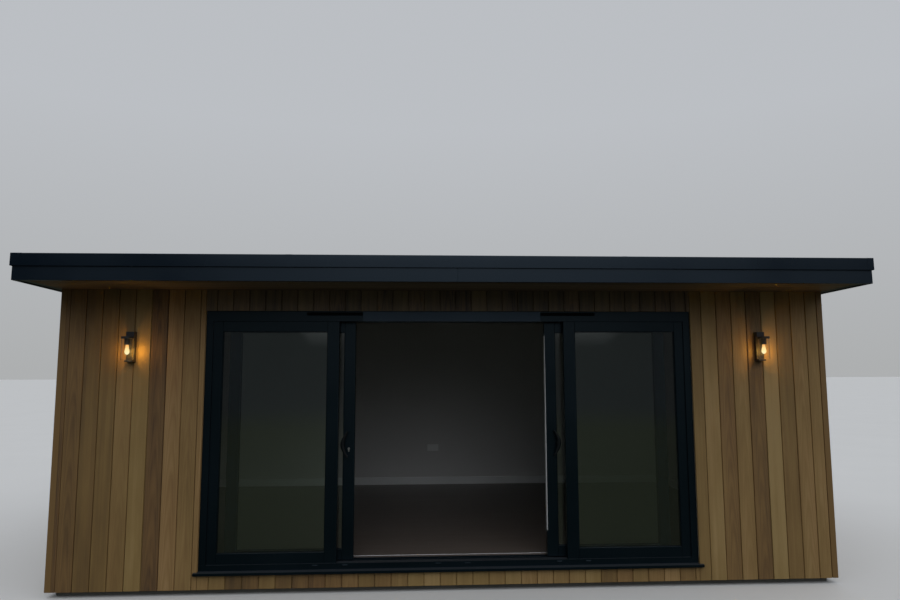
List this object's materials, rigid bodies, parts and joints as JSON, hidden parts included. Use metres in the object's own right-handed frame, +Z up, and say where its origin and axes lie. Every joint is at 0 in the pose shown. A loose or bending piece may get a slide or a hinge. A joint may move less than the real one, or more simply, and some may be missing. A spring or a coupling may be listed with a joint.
{
  "type": "garden office pod",
  "caption": "Timber-clad garden room with a flat overhanging roof, black fascia, a wide sliding glass door and a lamp on each side of it.",
  "frame": {"origin": "on the ground under the middle of the four walls, at the centre of the base slab's underside", "axes": "+Z up, +X to the right as one faces the door, -Y out through the door"},
  "size_m": [6.494, 4.3051, 2.6002],
  "materials": {
    "concrete": "rough",
    "timber_core": "raw",
    "dark_oak": "satin",
    "plaster": "matt",
    "cedar": "oiled",
    "membrane": "matt",
    "fascia_black": "satin",
    "trim_black": "satin",
    "gutter_black": "satin",
    "frame_black": "powder coated",
    "glazing": "clear",
    "bright_strip": "satin",
    "white_wood": "painted",
    "white_plastic": "gloss",
    "lamp_black": "satin",
    "lamp_glass": "clear",
    "lamp_bulb": "lit",
    "handle_black": "satin",
    "lock_steel": "satin",
    "seal_grey": "matt"
  },
  "bodies": {
    "building": {"base_slab": "concrete", "floor_deck": "timber_core", "floor_boards": "dark_oak", "left_wall": "plaster", "right_wall": "plaster", "front_wall_left": "plaster", "front_wall_right": "plaster", "front_wall_header": "plaster", "rear_wall": "plaster", "left_cladding": "cedar", "right_cladding": "cedar", "front_cladding_left": "cedar", "front_cladding_right": "cedar", "front_cladding_header": "cedar", "front_cladding_plinth": "cedar", "rear_cladding": "cedar", "corner_boards": "cedar", "roof_deck": "timber_core", "roof_membrane": "membrane", "ceiling_lining": "plaster", "front_soffit": "cedar", "side_soffits": "cedar", "rear_soffit": "cedar", "front_fascia": "fascia_black", "left_fascia": "fascia_black", "right_fascia": "fascia_black", "rear_fascia": "fascia_black", "front_trim": "trim_black", "left_trim": "trim_black", "right_trim": "trim_black", "rear_gutter": "gutter_black", "rear_downpipe": "gutter_black", "door_cill": "frame_black", "door_sill": "frame_black", "door_head": "frame_black", "head_vents": "frame_black", "door_jambs": "frame_black", "fixed_sash_stiles": "frame_black", "fixed_sash_rails": "frame_black", "fixed_glass": "glazing", "threshold_strip": "bright_strip", "skirting": "white_wood", "wall_socket": "white_plastic", "lamp_brackets": "lamp_black", "lamp_glasses": "lamp_glass", "lamp_bulbs": "lamp_bulb"},
    "left_leaf": {"left_leaf_stiles": "frame_black", "left_leaf_rails": "frame_black", "left_leaf_glass": "glazing", "left_leaf_handle": "handle_black", "left_leaf_lock": "lock_steel"},
    "right_leaf": {"right_leaf_stiles": "frame_black", "right_leaf_rails": "frame_black", "right_leaf_glass": "glazing", "right_leaf_handle": "handle_black", "right_leaf_seal": "seal_grey"}
  },
  "joints": [
    {"name": "left_leaf_slide", "type": "slide", "parent": "building", "child": "left_leaf", "axis": [1, 0, 0], "range_m": [0, 0.7965]},
    {"name": "right_leaf_slide", "type": "slide", "parent": "building", "child": "right_leaf", "axis": [-1, 0, 0], "range_m": [0, 0.7735]}
  ]
}
